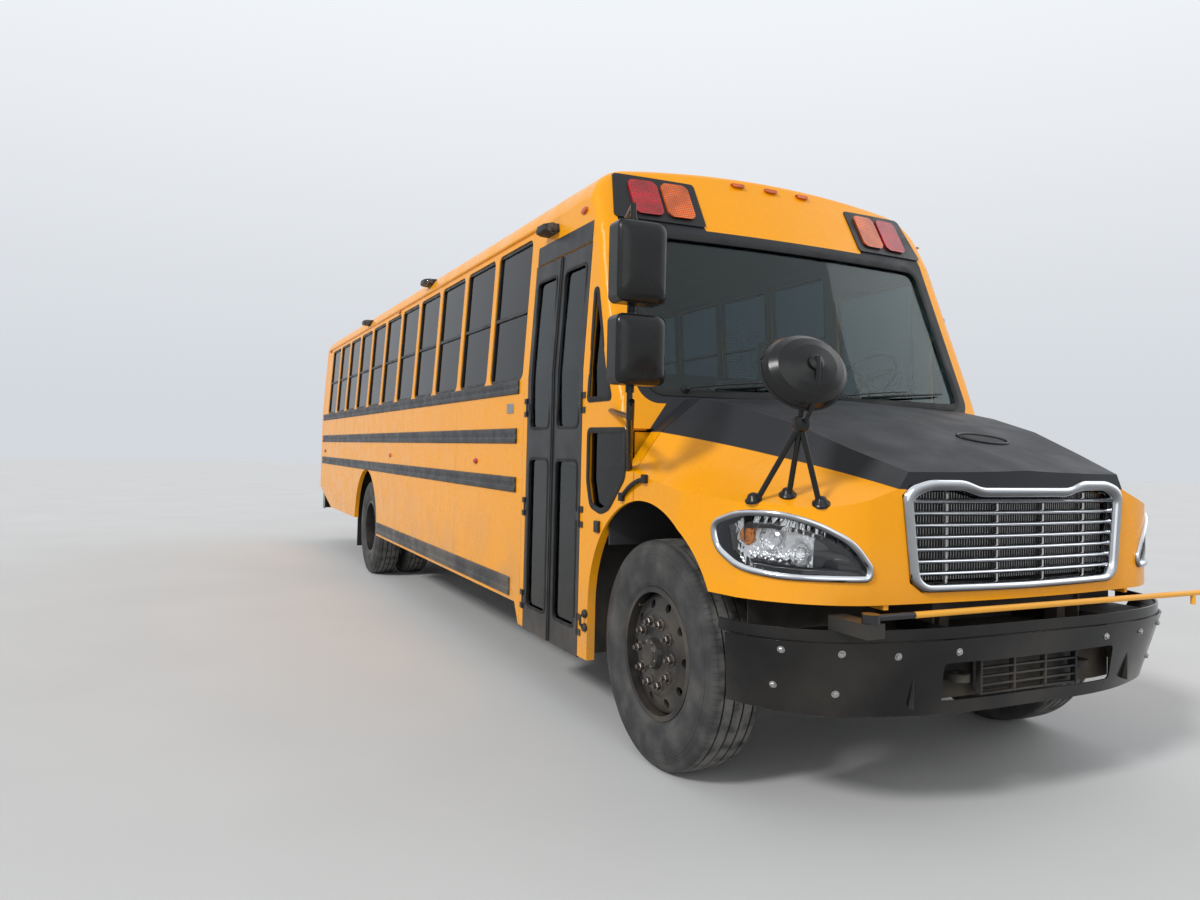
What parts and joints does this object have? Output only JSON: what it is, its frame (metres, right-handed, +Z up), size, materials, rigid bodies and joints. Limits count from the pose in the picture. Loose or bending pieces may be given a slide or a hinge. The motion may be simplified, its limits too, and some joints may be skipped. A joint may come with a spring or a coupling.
{
  "type": "school bus",
  "caption": "Conventional school bus with a tilting hood, a two-leaf entrance door, a rear emergency door and twin rear wheels, for carrying pupils.",
  "frame": {"origin": "on the ground under the middle of the whole bus, mirrors and bumpers included", "axes": "+Z up, -Y towards the nose, +X towards the driver's side, -X towards the entrance"},
  "size_m": [3.09, 11.4319, 3.0549],
  "materials": {
    "body_yellow": "semi-gloss yellow paint",
    "body_black": "satin black paint",
    "chassis_black": "satin black chassis paint",
    "chrome": "polished",
    "tinted_glass": "dark tinted",
    "clear_glass": "clear with a faint green tint",
    "lens_clear": "clear lens",
    "lens_red": "glossy red lens",
    "lens_amber": "glossy amber lens",
    "tyre": "dusty black",
    "wheel_steel": "black painted steel",
    "rubber": "matte",
    "seat_vinyl": "padded vinyl",
    "dash_plastic": "matte grained",
    "floor_grey": "ribbed floor covering over plywood and steel",
    "sash_metal": "dark anodised",
    "tank_steel": "black painted steel",
    "exhaust_steel": "dull heat-stained",
    "engine_iron": "rough",
    "sign_red": "blank reflective red",
    "mirror_black": "grained black"
  },
  "bodies": {
    "bus": {"front_cap": "body_yellow", "windscreen": "clear_glass", "right_wall": "body_yellow", "left_wall": "body_yellow", "roof": "body_yellow", "rear_wall": "body_yellow", "window_sashes": "sash_metal", "window_glass": "tinted_glass", "floor": "floor_grey", "step_well": "floor_grey", "firewall": "dash_plastic", "passenger_seats": "seat_vinyl", "driver_seat": "seat_vinyl", "frame_rails": "chassis_black", "bumpers": "body_black", "hinge_mounts": "body_black", "axles": "chassis_black", "powertrain": "engine_iron", "fuel_tank": "tank_steel", "exhaust": "exhaust_steel", "mud_flaps": "rubber", "rub_rails": "body_black", "lamp_housings": "body_black", "amber_lenses": "lens_amber", "red_lenses": "lens_red", "rear_view_mirrors": "mirror_black"},
    "hood_group": {"hood": "body_yellow", "grille": "chrome", "headlamps": "chrome", "headlamp_lenses": "lens_clear", "crossview_mirror": "mirror_black"},
    "door_front": {"door_front_leaf": "body_black", "door_front_glass": "clear_glass"},
    "door_rear": {"door_rear_leaf": "body_black", "door_rear_glass": "clear_glass"},
    "emergency_door": {"rear_door": "body_yellow", "rear_door_glass": "tinted_glass"},
    "crossing_arm_group": {"crossing_arm": "body_yellow"},
    "stop_arm_group": {"stop_arm": "sign_red"},
    "steering_wheel_group": {"steering_wheel": "dash_plastic"},
    "knuckle_left_group": {"knuckle_left": "chassis_black"},
    "knuckle_right_group": {"knuckle_right": "chassis_black"},
    "wheel_front_left": {"front_tyre_left": "tyre", "front_wheel_left": "wheel_steel"},
    "wheel_front_right": {"front_tyre_right": "tyre", "front_wheel_right": "wheel_steel"},
    "wheels_rear_left": {"rear_tyres_left": "tyre", "rear_wheels_left": "wheel_steel"},
    "wheels_rear_right": {"rear_tyres_right": "tyre", "rear_wheels_right": "wheel_steel"}
  },
  "joints": [
    {"name": "hood_tilt", "type": "hinge", "parent": "bus", "child": "hood_group", "pos_m": [0, -5.49395, 0.88], "axis": [1, 0, 0], "range_deg": [0, 55]},
    {"name": "entrance_front_leaf", "type": "hinge", "parent": "bus", "child": "door_front", "pos_m": [-1.224, -3.85495, 1.08], "axis": [0, 0, 1], "range_deg": [0, 90]},
    {"name": "entrance_rear_leaf", "type": "hinge", "parent": "bus", "child": "door_rear", "pos_m": [-1.224, -3.04395, 1.08], "axis": [0, 0, -1], "range_deg": [0, 90]},
    {"name": "emergency_door_hinge", "type": "hinge", "parent": "bus", "child": "emergency_door", "pos_m": [-0.342, 5.58095, 1.76], "axis": [0, 0, 1], "range_deg": [0, 100]},
    {"name": "crossing_arm_swing", "type": "hinge", "parent": "bus", "child": "crossing_arm_group", "pos_m": [-0.905, -5.68395, 0.857], "axis": [0, 0, -1], "range_deg": [0, 90]},
    {"name": "stop_arm_swing", "type": "hinge", "parent": "bus", "child": "stop_arm_group", "pos_m": [1.245, -2.92395, 1.355], "axis": [0, 0, -1], "range_deg": [0, 90]},
    {"name": "steer_left", "type": "hinge", "parent": "bus", "child": "knuckle_left_group", "pos_m": [0.89, -4.56995, 0.515], "axis": [0, 0, 1], "range_deg": [-38, 38]},
    {"name": "steer_right", "type": "hinge", "parent": "bus", "child": "knuckle_right_group", "pos_m": [-0.89, -4.56995, 0.515], "axis": [0, 0, 1], "range_deg": [-38, 38]},
    {"name": "steering_wheel_turn", "type": "hinge", "parent": "bus", "child": "steering_wheel_group", "pos_m": [0.69, -3.87395, 1.9], "axis": [0, 0.7071, 0.7071], "range_deg": [-570, 570]},
    {"name": "spin_front_left", "type": "hinge", "parent": "knuckle_left_group", "child": "wheel_front_left", "pos_m": [1.035, -4.56995, 0.515], "axis": [1, 0, 0], "continuous": true},
    {"name": "spin_front_right", "type": "hinge", "parent": "knuckle_right_group", "child": "wheel_front_right", "pos_m": [-1.035, -4.56995, 0.515], "axis": [1, 0, 0], "continuous": true},
    {"name": "spin_rear_left", "type": "hinge", "parent": "bus", "child": "wheels_rear_left", "pos_m": [0.869, 2.00905, 0.515], "axis": [1, 0, 0], "continuous": true},
    {"name": "spin_rear_right", "type": "hinge", "parent": "bus", "child": "wheels_rear_right", "pos_m": [-0.869, 2.00905, 0.515], "axis": [1, 0, 0], "continuous": true}
  ],
  "couplings": [
    {"joint": "entrance_rear_leaf", "follows": "entrance_front_leaf", "ratio": 1},
    {"joint": "steer_right", "follows": "steer_left", "ratio": 1},
    {"joint": "steering_wheel_turn", "follows": "steer_left", "ratio": 15}
  ]
}
